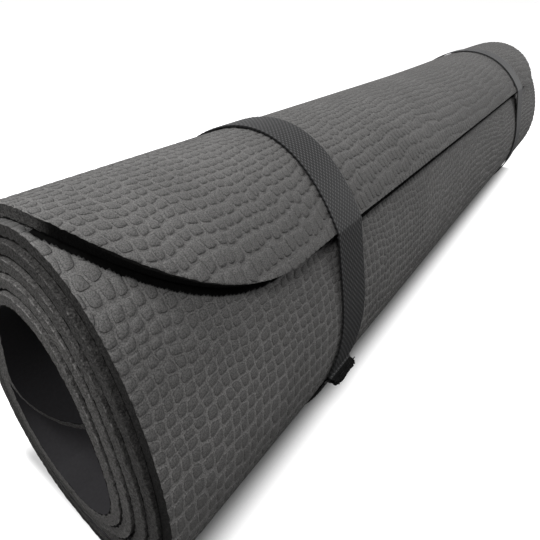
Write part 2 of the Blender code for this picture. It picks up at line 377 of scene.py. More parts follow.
def smooth_steps(add, *rules):
    """The product of smooth steps.

    Each rule is a value, where its step starts and ends, and the levels before and after it,
    which are 0 and 1 where they aren't given.
    """
    level = None
    for rule in rules:
        step = add("ShaderNodeMapRange", rule, interpolation_type="SMOOTHSTEP")[0]
        level = step if level is None else add(MATH, [level, step], operation="MULTIPLY")[0]
    return level


def pebbles(add, place, length, width, channel):
    """Adds the embossing's pattern at a flat place: its height, 0 to 1.

    Pads like a reptile's skin lie in rows across the sheet.  The rows are long along the sheet
    in some places and short in others, which makes pads there and small beads here, and they
    wander a little.  A flat channel lies between the pads.
    """
    for scale, reach in ROW_WANDER:
        scaled = add(VECTORS, [place, scale], operation="MULTIPLY")[0]
        noise = add(NOISE, {"Vector": scaled, "Scale": 1.0, "Detail": 0.0},
                    noise_dimensions="2D")["Color"]
        drift = add(VECTORS, [noise, reach], operation="MULTIPLY")[0]
        place = add(VECTORS, [place, drift])[0]
    flat = add(SPLIT, [place])
    from_start = add(MATH, [flat["X"], ROW_START], operation="SUBTRACT")[0]
    phase = add(MATH, [from_start, 2 * math.pi / ROW_CYCLE], operation="MULTIPLY")[0]
    swell = add(MATH, [phase], operation="SINE")[0]
    swing = add(MATH, [swell, ROW_SWING], operation="MULTIPLY")[0]
    even_row = add(MATH, [flat["X"], length], operation="DIVIDE")[0]
    row = add(MATH, [even_row, swing], operation="SUBTRACT")[0]
    column = add(MATH, [flat["Y"], width], operation="DIVIDE")[0]
    cells = add(JOIN, [row, column])[0]
    edge, middle = [add("ShaderNodeTexVoronoi",
                        {"Vector": cells, "Scale": 1.0, "Randomness": PAD_RANDOMNESS},
                        voronoi_dimensions="2D", feature=feature)["Distance"]
                    for feature in ("DISTANCE_TO_EDGE", "F1")]
    corner = smooth_steps(add, (middle, 0.34, 0.78, 0.0, 0.32))
    inside = add(MATH, [edge, corner], operation="SUBTRACT")[0]
    off = add(MATH, [inside, width], operation="MULTIPLY")[0]
    half = add(MATH, [channel, 0.5], operation="MULTIPLY")[0]
    slope_end = add(MATH, [channel, 1.15], operation="MULTIPLY")[0]
    crown_end = add(MATH, [width, 0.36], operation="MULTIPLY")[0]
    side = smooth_steps(add, (off, half, slope_end))
    crown = smooth_steps(add, (off, half, crown_end))
    return add("ShaderNodeMix", {0: 0.20, 2: side, 3: crown})[0]


def new_material(name):
    """A new material, what adds nodes to its tree, and its Principled shader."""
    material = bpy.data.materials.new(name)
    material.use_nodes = True
    tree = material.node_tree
    return material, partial(add_node, tree), tree.nodes["Principled BSDF"]


def shade_of(add, factor, colour, dark, light):
    """A colour between `dark` and `light` times itself, by a factor."""
    return add("ShaderNodeMix", {0: factor, 6: [part * dark for part in colour] + [1.0],
                                 7: [part * light for part in colour] + [1.0]},
               data_type="RGBA")[2]


def fine_grain(add, place, scale, detail, depth):
    """A fine random grain at a place, and the surface that it raises by `depth`."""
    grain = add(NOISE, {"Vector": place, "Scale": scale, "Detail": detail})["Fac"]
    return grain, add(BUMP, {"Height": grain, "Strength": 0.5, "Distance": depth})[0]


def embossed_foam(sizes):
    """EVA foam skin, heat-embossed: matt and soft, with a leathery grain on its pads.

    The channels are pressed paler than the pads; low on the roll they are painted paler still,
    a painted sheen for light that the channels catch there.  The slopes of the pads are painted
    a little darker, painted shade at their edges, and a painted shadow darkens the skin beside
    the flap.
    """
    material, add, shader = new_material("embossed_eva_foam")
    flat = add("ShaderNodeUVMap", uv_map="flat")[0]
    height = pebbles(add, flat, sizes.pad_length, sizes.pad_width, sizes.channel)
    grain = add(NOISE, {"Vector": flat, "Scale": SKIN_GRAIN, "Detail": 2.0, "Roughness": 0.8},
                noise_dimensions="2D")["Fac"]
    cloud = add(NOISE, {"Vector": flat, "Scale": SKIN_CLOUDS, "Detail": 2.0},
                noise_dimensions="2D")["Fac"]
    base = shade_of(add, smooth_steps(add, (grain, 0.36, 0.64)), sizes.skin_colour, 0.62, 1.42)
    level = add(SPLIT, [add(COORDINATES)["Object"]])["Z"]
    # Painted sheen: the channels, pressed paler than the pads, are painted paler still low on the
    # roll.
    channel_paleness_and_sheen = smooth_steps(add, (level, AXIS.z + 0.010, AXIS.z + 0.055, 1.62, 1.18))
    # Painted shade: the pads' slopes are painted darker than their tops and the channels.
    from_slope = add(MATH, [height, 0.4], operation="SUBTRACT")[0]
    off_slope = add(MATH, [from_slope], operation="ABSOLUTE")[0]
    # Painted shadow: the skin beside the flap's edge is painted dark, with some grain through it.
    beside = add("ShaderNodeAttribute", attribute_name="beside_flap")["Fac"]
    uneven = add(MATH, [grain, 0.5], operation="SUBTRACT")[0]
    flap_shadow = add(MATH, [uneven, 0.9, beside], operation="MULTIPLY_ADD")[0]
    tone = smooth_steps(add, (height, 0.0, 0.7, channel_paleness_and_sheen, 0.97), (off_slope, 0.05, 0.36, 0.74, 1.0),
                        (cloud, 0.3, 0.7, 0.93, 1.07), (flap_shadow, 0.08, 0.50, 1.0, 0.04))
    relief = add(BUMP, {"Height": height, "Strength": 1.0, "Distance": 0.0006})[0]
    fine = add(BUMP, {"Height": grain, "Strength": 1.0, "Distance": 0.00022,
                      "Normal": relief})[0]
    toned = add(VECTORS, {0: base, "Scale": tone}, operation="SCALE")[0]
    connect(shader, {"Base Color": toned, "Normal": fine, "Roughness": 0.78,
                     "Specular IOR Level": 0.38})
    return material


def flap_shadow_foam(sizes):
    """Foam skin in the corner under the flap's edge, painted dull and nearly black as a painted
    shadow.
    """
    material, add, shader = new_material("foam_in_the_flap_corner")
    flat = add("ShaderNodeUVMap", uv_map="flat")[0]
    grain = add(NOISE, {"Vector": flat, "Scale": DIRT_GRAIN, "Detail": 2.0})["Fac"]
    connect(shader, {"Base Color": shade_of(add, grain, sizes.skin_colour, 0.01, 0.03),
                     "Roughness": 1.0, "Specular IOR Level": 0.04})
    return material


def cut_foam(sizes):
    """The same foam where it was cut: open cells that look granular, torn next to the gaps.

    The outermost turn's cut is clean and dark, the inner turns' cut is torn and paler, and the
    flap's edge, which is in the dark, is painted nearly black below its rim as a painted shadow.
    A broken line along each cut's edge at the back is painted nearly black, and its edge at the
    embossed skin a little darker: painted shade in the gaps between the turns.
    """
    material, add, shader = new_material("cut_eva_foam")
    place = add(COORDINATES)["Object"]
    along = add(SPLIT, [add("ShaderNodeUVMap", uv_map="flat")[0]])["X"]
    depth = add("ShaderNodeAttribute", attribute_name="depth")["Fac"]
    grain = add(NOISE, {"Vector": place, "Scale": CUT_CELLS, "Detail": 3.0,
                        "Roughness": 0.9})["Fac"]
    cells = add("ShaderNodeTexVoronoi", {"Vector": place, "Scale": CUT_CELLS})["Distance"]
    layers = add(JOIN, [add(MATH, [along, CUT_STREAKS], operation="MULTIPLY")[0],
                        add(MATH, [depth, CUT_LAYERS], operation="MULTIPLY")[0]])[0]
    streak = add(NOISE, {"Vector": layers, "Scale": 1.0, "Detail": 3.0, "Roughness": 0.7},
                 noise_dimensions="2D")["Fac"]
    uneven = add(MATH, [streak, 0.5], operation="SUBTRACT")[0]
    # Painted shade: this noisy depth paints a broken black line along the cut's back edge.
    torn = add(MATH, [uneven, 0.45, depth], operation="MULTIPLY_ADD")[0]
    broken_lip = smooth_steps(add, (depth, 0.0, 0.04), (depth, 0.05, 0.11, 1.0, 0.0),
                              (streak, 0.42, 0.62))
    inner = smooth_steps(add, (along, 0.40, 0.56, 0.0, 0.7))
    ridge = add(MATH, [broken_lip, inner, 1.0], operation="MULTIPLY_ADD")[0]
    # Painted shadow: the flap's cut edge near its corner is painted nearly black below its rim.
    rim = smooth_steps(add, (along, 0.02, 0.045, 0.3, 0.03))
    flap_edge_shadow = smooth_steps(add, (depth, 0.26, 0.42, rim, 0.02))
    level = smooth_steps(add, (torn, 0.89, 0.95, 1.0, 0.02), (depth, 0.0, 0.05, 0.75, 1.0),
                         (along, 0.051, 0.060, flap_edge_shadow, 1.0),
                         *[(along, *levels) for levels in CUT_LEVELS])
    tone = add(MATH, [level, ridge], operation="MULTIPLY")[0]
    base = shade_of(add, smooth_steps(add, (grain, 0.34, 0.70)), sizes.cut_colour, 0.55, 2.0)
    rough = add(BUMP, {"Height": grain, "Strength": 1.0, "Distance": 0.0005})[0]
    open_cells = add(BUMP, {"Height": cells, "Strength": 0.8, "Distance": 0.0003,
                            "Normal": rough})[0]
    toned = add(VECTORS, {0: base, "Scale": tone}, operation="SCALE")[0]
    connect(shader, {"Base Color": toned, "Normal": open_cells, "Roughness": 0.95,
                     "Specular IOR Level": 0.08})
    return material


def plain_foam(sizes):
    """The foam's back, skived smooth: matt, with a faint fine grain."""
    material, add, shader = new_material("smooth_eva_foam")
    grain, fine = fine_grain(add, add(COORDINATES)["Object"], BACK_GRAIN, 3.0, 0.0001)
    connect(shader, {"Base Color": shade_of(add, grain, sizes.back_colour, 0.7, 1.2),
                     "Normal": fine, "Roughness": 0.85, "Specular IOR Level": 0.2})
    return material


def woven_elastic(name, yarn, gap, shine):
    """Woven polyester over rubber: each float of yarn stands up and shines, the gaps are dark."""
    material, add, shader = new_material(name)
    weave = add("ShaderNodeAttribute", attribute_name="weave")["Fac"]
    fibre, fine = fine_grain(add, add(COORDINATES)["Object"], YARN_FIBRES, 2.0, 0.00008)
    raised = smooth_steps(add, (weave, 0.34, 0.95))
    base = add("ShaderNodeMix", {0: raised, 6: (*gap, 1.0),
                                 7: shade_of(add, fibre, yarn, 0.7, 1.5)}, data_type="RGBA")[2]
    connect(shader, {"Base Color": base, "Normal": fine, "Roughness": 0.62,
                     "Specular IOR Level": shine})
    return material


def sewing_thread(colour):
    """Spun polyester thread: two plies laid together, with a faint lustre."""
    material, add, shader = new_material("polyester_sewing_thread")
    fibre, fine = fine_grain(add, add(COORDINATES)["Object"], THREAD_FIBRES, 2.0, 0.00005)
    connect(shader, {"Base Color": shade_of(add, fibre, colour, 0.6, 1.5), "Normal": fine,
                     "Roughness": 0.6, "Specular IOR Level": 0.15})
    return material


def new_tree(name, inputs):
    """A Geometry Nodes tree with these named inputs, what adds its nodes, and its inputs."""
    tree = bpy.data.node_groups.new(name, "GeometryNodeTree")
    tree.interface.new_socket("Geometry", in_out="OUTPUT", socket_type="NodeSocketGeometry")
    for title, kind in {"Geometry": "Geometry", **inputs}.items():
        tree.interface.new_socket(title, in_out="INPUT", socket_type="NodeSocket" + kind)
    add = partial(add_node, tree)
    return tree, add, add("NodeGroupInput")


def end_tree(add, geometry, materials):
    """Realizes the instances, sets each material on its faces, and closes the tree."""
    last = add("GeometryNodeRealizeInstances", [geometry])[0]
    side = add(NAMED, {"Name": "side"}, data_type="INT")[0]
    for index, material in enumerate(materials):
        here = add("FunctionNodeCompare", {2: side, 3: index}, data_type="INT",
                   operation="EQUAL")[0]
        last = add("GeometryNodeSetMaterial", [last, here, material])[0]
    add("NodeGroupOutput", [last])


def wind(add, geometry, path, start):
    """Adds the winding: X of the flat piece runs along the path, Z stands off it, Y stays.

    Towards the rear end everything opens out about the line that the roll rests on.  Winding
    mirrors the flat piece, so its faces are flipped to look outwards again.
    """
    line = add("GeometryNodeObjectInfo", {"Object": path})["Geometry"]
    curve = add("GeometryNodeMeshToCurve", [line])[0]
    outward = add(NAMED, {"Name": "outward"}, data_type="FLOAT_VECTOR")[0]
    flat = add(SPLIT, [add("GeometryNodeInputPosition")[0]])
    run = add(MATH, [flat["X"], start], operation="ADD")[0]
    sample = add("GeometryNodeSampleCurve", {"Curves": curve, "Value": outward, "Length": run},
                 mode="LENGTH", data_type="FLOAT_VECTOR", use_all_curves=True)
    stand = add(VECTORS, {0: sample["Value"], "Scale": flat["Z"]}, operation="SCALE")[0]
    on_path = add(VECTORS, [sample["Position"], stand])[0]
    wound = add(VECTORS, [on_path, add(JOIN, {"Y": flat["Y"]})[0]])[0]
    flare = smooth_steps(add, (add(SPLIT, [wound])["Y"], AXIS.y + FLARE_START,
                               AXIS.y + MAT_WIDTH, 1.0, FLARE))
    spread = add(JOIN, [flare, 1.0, flare])[0]
    foot = (AXIS.x, 0.0, AXIS.z - REST_DEPTH)
    from_foot = add(VECTORS, [wound, foot], operation="SUBTRACT")[0]
    grown = add(VECTORS, [from_foot, spread], operation="MULTIPLY")[0]
    ended = add(VECTORS, [grown, foot])[0]
    moved = add(SET_POSITION, {"Geometry": geometry, "Position": ended})[0]
    return add("GeometryNodeFlipFaces", [moved])[0]


def path_object(name, places):
    """A line of edges that a flat piece is wound along, with its outward directions."""
    along = np.gradient(places[:, [0, 2]], axis=0)
    along = along / np.linalg.norm(along, axis=1)[:, None]
    outward = np.column_stack([along[:, 1], np.zeros(len(along)), -along[:, 0]])
    mesh = line_mesh(name, places)
    mesh.attributes.new("outward", "FLOAT_VECTOR", "POINT")
    mesh.attributes["outward"].data.foreach_set("vector", np.ravel(outward))
    return new_object(name, mesh)


def line_mesh(name, points):
    """A mesh of one line of edges."""
    mesh = bpy.data.meshes.new(name)
    mesh.from_pydata(points, [(i, i + 1) for i in range(len(points) - 1)], [])
    return mesh


def new_object(name, data):
    """A new object in the scene."""
    made = bpy.data.objects.new(name, data)
    bpy.context.scene.collection.objects.link(made)
    return made


def run_tree(name, flat, tree, inputs):
    """Evaluates the tree on a flat mesh and keeps the result as a plain mesh object."""
    source = new_object(name + "_flat", flat)
    modifier = source.modifiers.new("make", "NODES")
    modifier.node_group = tree
    for item in tree.interface.items_tree:
        if item.in_out == "INPUT" and item.name in inputs:
            modifier[item.identifier] = inputs[item.name]
    graph = bpy.context.evaluated_depsgraph_get()
    mesh = bpy.data.meshes.new_from_object(source.evaluated_get(graph), depsgraph=graph)
    source.modifiers.remove(modifier)
    bpy.data.objects.remove(source)
    mesh.name = name
    return new_object(name, mesh)


def tube_faces(count, around, first=0):
    """The faces between `count` equal closed loops of `around` points."""
    rows, places = np.meshgrid(np.arange(count - 1), np.arange(around), indexing="ij")
    here = first + rows * around + places
    after = first + rows * around + (places + 1) % around
    faces = np.stack([here, here + around, after + around, after], axis=-1)
    return faces.reshape(-1, 4)


def flat_lift(along, across):
    """How far the flap's free edge stands off the turn below: its corners lift past the bands."""
    free = np.clip(1.0 - along / LIFT_REACH, 0.0, 1.0) ** 2
    past = 0.0
    for name, outwards in (("front_band", -1.0), ("rear_band", 1.0)):
        middle = BAND_INSETS[name] + BAND_WIDTH / 2 + band_drift(name, OUTER_EDGE_ANGLE)
        past = past + np.maximum(outwards * (across - middle), 0.0)
    return FLAP_LIFT * free * (1.0 - np.exp(-(past / (LIFT_WIDTHS * BAND_WIDTH)) ** 2))


def beside_flap(along, across, turn_length):
    """How close, 0 to 1, a place on the turn under the flap is to the flap's edge.

    Little light gets into that corner, and the skin there is painted dark for its shadow.
    """
    from_line = np.maximum(CORNER_RADIUS - (along - turn_length), 0.0)
    from_side = np.maximum(CORNER_RADIUS - np.minimum(across, MAT_WIDTH - across), 0.0)
    outside = np.hypot(from_line, from_side) - CORNER_RADIUS
    reach = np.interp(across, *np.transpose(UNDER_FLAP_REACH))
    close = np.clip(1.0 - outside / reach, 0.0, 1.0) * (outside > -UNDER_FLAP)
    at_front = np.clip((along - turn_length - FADE_START) / FADE_RUN, 0.0, 1.0)
    return close * (1.0 - FADE * at_front) * (along > turn_length / 2)


def across_rows(inset, edge, shares):
    """Places across the sheet between two insets: rows close to both edges, and between them."""
    lead = edge[-1] * EDGE_LEAD
    span = MAT_WIDTH - 2 * inset - 2 * lead
    return np.concatenate([inset + edge, inset + lead + span * shares,
                           (MAT_WIDTH - inset - edge)[::-1]])


def sheet_loops(stations, turned, length, shares, rows, sizes):
    """Loops of points round the flat sheet's section, and each point's depth in the foam.

    `turned` is the angle, 0 to 90 degrees, that a station has come round a rounded corner.
    """
    cut = np.array(CUT_SHARES)
    lip = CUT_SHARES[0] / 2
    depths = np.concatenate([[0.0, lip], cut, [1.0]])
    loops = []
    for station, angle in zip(stations, turned):
        leaning = sizes.undercut * float(np.interp(station, LEANING_END, [1.0, 0.0]))
        radius = CORNER_RADIUS - leaning * depths
        inset = CORNER_RADIUS - radius * math.sin(angle)
        if angle < math.pi / 2:
            from_end = CORNER_RADIUS - radius * math.cos(angle)
        else:
            from_end = np.full(len(radius), min(station, length - station))
        ahead = from_end if station < length / 2 else length - from_end
        outer = across_rows(inset[0], np.array(rows), np.array(shares))
        inner = across_rows(inset[-1], np.array(rows), np.array(BACK_SHARES))[::-1]
        depth = np.concatenate([np.zeros(len(outer)), cut, np.ones(len(inner)), cut[::-1]])
        depth[0] = depth[len(outer) - 1] = lip
        across = np.concatenate([outer, MAT_WIDTH - inset[2:-1], inner, inset[2:-1][::-1]])
        x = np.concatenate([np.full(len(outer), ahead[0]), ahead[2:-1],
                            np.full(len(inner), ahead[-1]), ahead[2:-1][::-1]])
        z = -sizes.thickness * depth + flat_lift(x, across)
        loops.append(np.column_stack([x, across, z, depth]))
    return np.array(loops), (len(outer), len(cut), len(inner))


def fine_stations():
    """Stations of the outermost turn past the flap's corner, closest where the turn shows."""
    starts = (CORNER_RADIUS,) + tuple(end for end, _ in FINE_STEPS[:-1])
    runs = [np.arange(start, end, step) for start, (end, step) in zip(starts, FINE_STEPS)]
    return np.concatenate(runs)[1:]


def flat_sheet(sizes):
    """The sheet lying flat, outer skin up: X from its outer end, Y across it.

    Every station is a closed loop: the outer skin, the back cut, the inner skin and the front
    cut.  The loops of the outermost turn have fine rows on the outer skin.
    """
    steps = np.linalg.norm(np.diff(sheet_path(), axis=0), axis=1)
    length = steps.sum()
    turn_length = steps[:round(360.0 / PATH_STEP)].sum()
    quarter = math.pi / 2
    corner = np.linspace(0.0, quarter, int(CORNER_RADIUS * quarter / FINE_STEPS[0][1]))
    rest = fine_stations()
    near = np.arange(0.0, NEAR_SHARE, NEAR_ROW / MAT_WIDTH)
    far = np.linspace(NEAR_SHARE, 1.0, int((1 - NEAR_SHARE) * MAT_WIDTH / FAR_ROW))
    fine = sheet_loops(np.concatenate([CORNER_RADIUS * (1 - np.cos(corner)), rest]),
                       np.concatenate([corner, np.full(len(rest), quarter)]), length,
                       np.concatenate([near, far]), EDGE_ROWS, sizes)
    rest = np.arange(FINE_STEPS[-1][0], length - CORNER_RADIUS, COARSE_STATION)
    corner = np.linspace(quarter, 0.0, int(CORNER_RADIUS * quarter / COARSE_STATION))
    ends = length - CORNER_RADIUS * (1 - np.cos(corner))
    coarse = sheet_loops(np.concatenate([rest, ends]),
                         np.concatenate([np.full(len(rest), quarter), corner]), length,
                         COARSE_SHARES, EDGE_ROWS + COARSE_ROWS, sizes)
    return joined_sheet(fine, coarse, turn_length)


def joined_sheet(fine, coarse, turn_length):
    """One closed mesh of the fine and the coarse loops, bridged where the flap hides it.

    A face's side is 0 on the embossed skin, 1 on a cut, 2 on the back and 3 in the corner
    under the flap's edge, which is painted nearly black for its shadow.  The inner turns' skin is
    torn off along their edges, `TORN_ROWS` rows wide.
    """
    points, faces, sides, rims = [], [], [], []
    first = 0
    for (loops, (outer, cut, inner)), torn in ((fine, 0), (coarse, TORN_ROWS)):
        count, around = loops.shape[:2]
        points.append(loops.reshape(-1, 4))
        faces.append(tube_faces(count, around, first))
        skin = [1] * torn + [0] * (outer - 1 - 2 * torn) + [1] * torn
        side = skin + [1] * (cut + 1) + [2] * (inner - 1) + [1] * (cut + 1)
        sides.append(np.tile(side, count - 1))
        rims.append((first, first + (count - 1) * around, around))
        first += count * around
    points, faces, sides = np.concatenate(points), np.concatenate(faces), np.concatenate(sides)
    close = beside_flap(points[:, 0], points[:, 1], turn_length)
    # Painted shadow: skin faces close to the flap's edge get a nearly black material of their own.
    sides[(sides == 0) & (close[faces].mean(axis=1) > SHADOW_MATERIAL_FROM)] = 3
    mesh = bpy.data.meshes.new("flat_sheet")
    mesh.from_pydata(points[:, :3], [], faces.tolist())
    for name, kind, domain, values in (("side", "INT", "FACE", sides),
                                       ("depth", "FLOAT", "POINT", points[:, 3]),
                                       ("beside_flap", "FLOAT", "POINT", close)):
        mesh.attributes.new(name, kind, domain).data.foreach_set("value", values)
    form = bmesh.new()
    form.from_mesh(mesh)
    form.verts.ensure_lookup_table()
    side = form.faces.layers.int["side"]
    (outer_start, outer_end, many), (inner_start, inner_end, few) = rims
    for start, count in ((outer_start, many), (inner_end, few)):
        form.faces.new([form.verts[start + place] for place in range(count)])[side] = 1
    edges = [form.edges.get((form.verts[start + place], form.verts[start + (place + 1) % count]))
             for start, count in ((outer_end, many), (inner_start, few))
             for place in range(count)]
    bmesh.ops.bridge_loops(form, edges=edges)
    bmesh.ops.triangulate(form, faces=[face for face in form.faces if len(face.verts) > 4])
    return closed(form, mesh)


def closed(form, mesh):
    """The mesh with the finished form, its faces all looking the same way."""
    bmesh.ops.recalc_face_normals(form, faces=form.faces)
    form.to_mesh(mesh)
    form.free()
    return mesh


def sheet_path():
    """Places of the sheet's outer skin, at its front edge, in even steps of sweep."""
    sweeps = np.arange(0.0, SWEEP + PATH_STEP, PATH_STEP).clip(max=SWEEP)
    line = skin_line(sweeps)
    return np.column_stack([line[:, 0], slip(sweeps), line[:, 1]]) + np.array(AXIS)


def sheet_tree():
    """Embosses the flat sheet, roughens its cut edges and winds it along the spiral."""
    tree, add, given = new_tree("emboss_and_wind", {
        "Path": "Object", "Emboss depth": "Float", "Pad length": "Float", "Pad width": "Float",
        "Channel": "Float", "Cut roughness": "Float",
        "Skin": "Material", "Cut": "Material", "Back": "Material", "Corner": "Material"})
    place = add("GeometryNodeInputPosition")[0]
    depth = add(NAMED, {"Name": "depth"}, data_type="FLOAT")[0]
    stored = add(STORE, {"Geometry": given["Geometry"], "Name": "flat", "Value": place},
                 data_type="FLOAT2", domain="CORNER")[0]
    height = pebbles(add, place, given["Pad length"], given["Pad width"], given["Channel"])
    below = add(MATH, [height, 1.0], operation="SUBTRACT")[0]
    sunk = add(MATH, [below, given["Emboss depth"]], operation="MULTIPLY")[0]
    on_top = add(MATH, [depth, CUT_SHARES[0] * 0.8], operation="LESS_THAN")[0]
    embossed = add(SET_POSITION, {"Geometry": stored, "Selection": on_top,
                                  "Offset": add(JOIN, {"Z": sunk})[0]})[0]
    noise = add(NOISE, {"Vector": place, "Scale": CUT_TEARS, "Detail": 2.0})["Color"]
    jitter = add(VECTORS, [noise, (0.5, 0.5, 0.5)], operation="SUBTRACT")[0]
    torn = add(VECTORS, {0: jitter, "Scale": given["Cut roughness"]}, operation="SCALE")[0]
    under_lip = add(MATH, [depth, CUT_SHARES[0] / 4], operation="GREATER_THAN")[0]
    over_back = add(MATH, [depth, 0.98], operation="LESS_THAN")[0]
    on_cut = add(MATH, [under_lip, over_back], operation="MULTIPLY")[0]
    roughened = add(SET_POSITION, {"Geometry": embossed, "Selection": on_cut,
                                   "Offset": torn})[0]
    wound = wind(add, roughened, given["Path"], 0.0)
    end_tree(add, wound, [given["Skin"], given["Cut"], given["Back"], given["Corner"]])
    return tree


def finish_piece(made, body, nodes, sharp):
    """Shades a finished piece, ties it to its body and hides the solids it stands for."""
    made.data.shade_smooth()
    made.data.set_sharp_from_angle(angle=math.radians(sharp))
    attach(made, body)
    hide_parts(*nodes)


class MAT_OT_foam_sheet(bpy.types.Operator):
    """Makes the foam sheet: drawn flat, embossed, and wound into its roll"""

    bl_idname = "camping_mat.foam_sheet"
    bl_label = "Foam sheet"

    def execute(self, context):
        sizes = context.scene.mat_foam
        path = path_object("sheet_path", sheet_path())
        made = run_tree("mat_sheet", flat_sheet(sizes), sheet_tree(), {
            "Path": path, "Emboss depth": sizes.emboss_depth, "Pad length": sizes.pad_length,
            "Pad width": sizes.pad_width, "Channel": sizes.channel,
            "Cut roughness": CUT_ROUGHNESS, "Skin": embossed_foam(sizes),
            "Cut": cut_foam(sizes), "Back": plain_foam(sizes), "Corner": flap_shadow_foam(sizes)})
        bpy.data.objects.remove(path)
        finish_piece(made, "mat", ["mat"], 60.0)
        return {"FINISHED"}


def hull_across(offset):
    """The tight line round the roll, `offset` outside its skin, counter-clockwise."""
    points = [Vector(point) for point in skin_line(np.arange(0.0, 360.0 + 1.0, HULL_STEP))]
    hull = [points[index] for index in convex_hull_2d(points)]
    if sum(a.cross(b) for a, b in zip(hull, hull[1:] + hull[:1])) < 0:
        hull.reverse()
    moved = []
    for before, here, after in zip(hull[-1:] + hull[:-1], hull, hull[1:] + hull[:1]):
        first = (here - before).normalized()
        second = (after - here).normalized()
        out = Vector((first.y + second.y, -first.x - second.x)).normalized()
        moved.append(here + out * offset / math.cos(first.angle(second) / 2))
    return moved


def band_line(seam_angle, splay):
    """Middle line of a band across the roll, from one sewn end round to the other.

    The raw ends part by `splay` above the stitches.
    """
    ring = hull_across(BAND_CLEARANCE + BAND_THICKNESS / 2)
    angle = math.radians(seam_angle)
    direction = Vector((math.cos(angle), math.sin(angle)))
    start = next(i for i in range(len(ring))
                 if ring[i].dot(direction) > 0
                 and direction.cross(ring[i - 1]) <= 0 < direction.cross(ring[i]))
    ring = ring[start:] + ring[:start]
    tangent = (ring[0] - ring[-1]).normalized()
    outward = Vector((tangent.y, -tangent.x))
    below = -direction.cross(ring[-1])
    above = direction.cross(ring[0])
    seam = ring[-1] + (ring[0] - ring[-1]) * below / (below + above)
    leg = (SEAM_GAP + BAND_THICKNESS) / 2
    foot = leg + SEAM_BEND_RADIUS
    body = [point for point in ring if (point - seam).length > foot + BAND_THICKNESS]
    turns = [math.radians(90.0 * step / BEND_STEPS) for step in range(BEND_STEPS + 1)]
    bend = [(foot - SEAM_BEND_RADIUS * math.sin(turn), SEAM_BEND_RADIUS * (1 - math.cos(turn)))
            for turn in turns]
    top = (SEAM_HEIGHT - NEEDLE_ROW_HEIGHT) / TIP_STEPS
    tips = [(leg + splay * (step / TIP_STEPS) ** 2, NEEDLE_ROW_HEIGHT + top * step)
            for step in range(TIP_STEPS + 1)]
    first_end = [seam + tangent * side + outward * rise for side, rise in (bend + tips)[::-1]]
    last_end = [seam - tangent * side + outward * rise for side, rise in bend + tips]
    return first_end + body + last_end, seam, tangent, outward


def smooth_line(points, step):
    """Even steps along a line of points."""
    places = np.array([tuple(point) for point in points])
    runs = np.concatenate([[0.0], np.cumsum(np.linalg.norm(np.diff(places, axis=0), axis=1))])
    even = np.linspace(0.0, runs[-1], int(runs[-1] / step) + 1)
    return np.column_stack([np.interp(even, runs, places[:, axis]) for axis in (0, 1)])


def band_path(name):
    """Places of a band's middle line, at its front edge, from one sewn end to the other."""
    line = smooth_line(band_line(SEAM_ANGLES[name], END_SPLAY)[0], LINE_STEP)
    angles = np.degrees(np.unwrap(np.arctan2(line[:, 1], line[:, 0])))
    edge = BAND_INSETS[name] + band_drift(name, angles)
    return np.column_stack([line[:, 0], edge, line[:, 1]]) + np.array(AXIS)


def flat_band(length, sizes):
    """A band lying flat: X along it, Y across, its outer face fine enough for the weave."""
    ribs = round(BAND_WIDTH / sizes.rib)
    rows = np.linspace(0.0, BAND_WIDTH, ribs * ROWS_PER_RIB + 1)
    inner_rows = rows[::-ROWS_PER_RIB]
    stations = np.linspace(0.0, length, round(length / sizes.weave) * STATIONS_PER_REPEAT + 1)
    half = BAND_THICKNESS / 2 - sizes.relief
    rise = np.concatenate([np.full(len(rows), half), [0.0], np.full(len(inner_rows), -half),
                           [0.0]])
    across = np.concatenate([rows, [BAND_WIDTH], inner_rows, [0.0]])
    around = len(across)
    points = np.column_stack([np.repeat(stations, around), np.tile(across, len(stations)),
                              np.tile(rise, len(stations))])
    faces = tube_faces(len(stations), around)
    middle = points[faces][:, :, 0].mean(axis=1)
    side = (np.minimum(middle, length - middle) < RAW_LENGTH).astype(int)
    last = (len(stations) - 1) * around
    caps = [list(range(around)), list(range(last, last + around))[::-1]]
    mesh = bpy.data.meshes.new("flat_band")
    mesh.from_pydata(points, [], faces.tolist() + caps)
    sides = mesh.attributes.new("side", "INT", "FACE")
    sides.data.foreach_set("value", np.append(side, [1, 1]))
    form = bmesh.new()
    form.from_mesh(mesh)
    return closed(form, mesh)


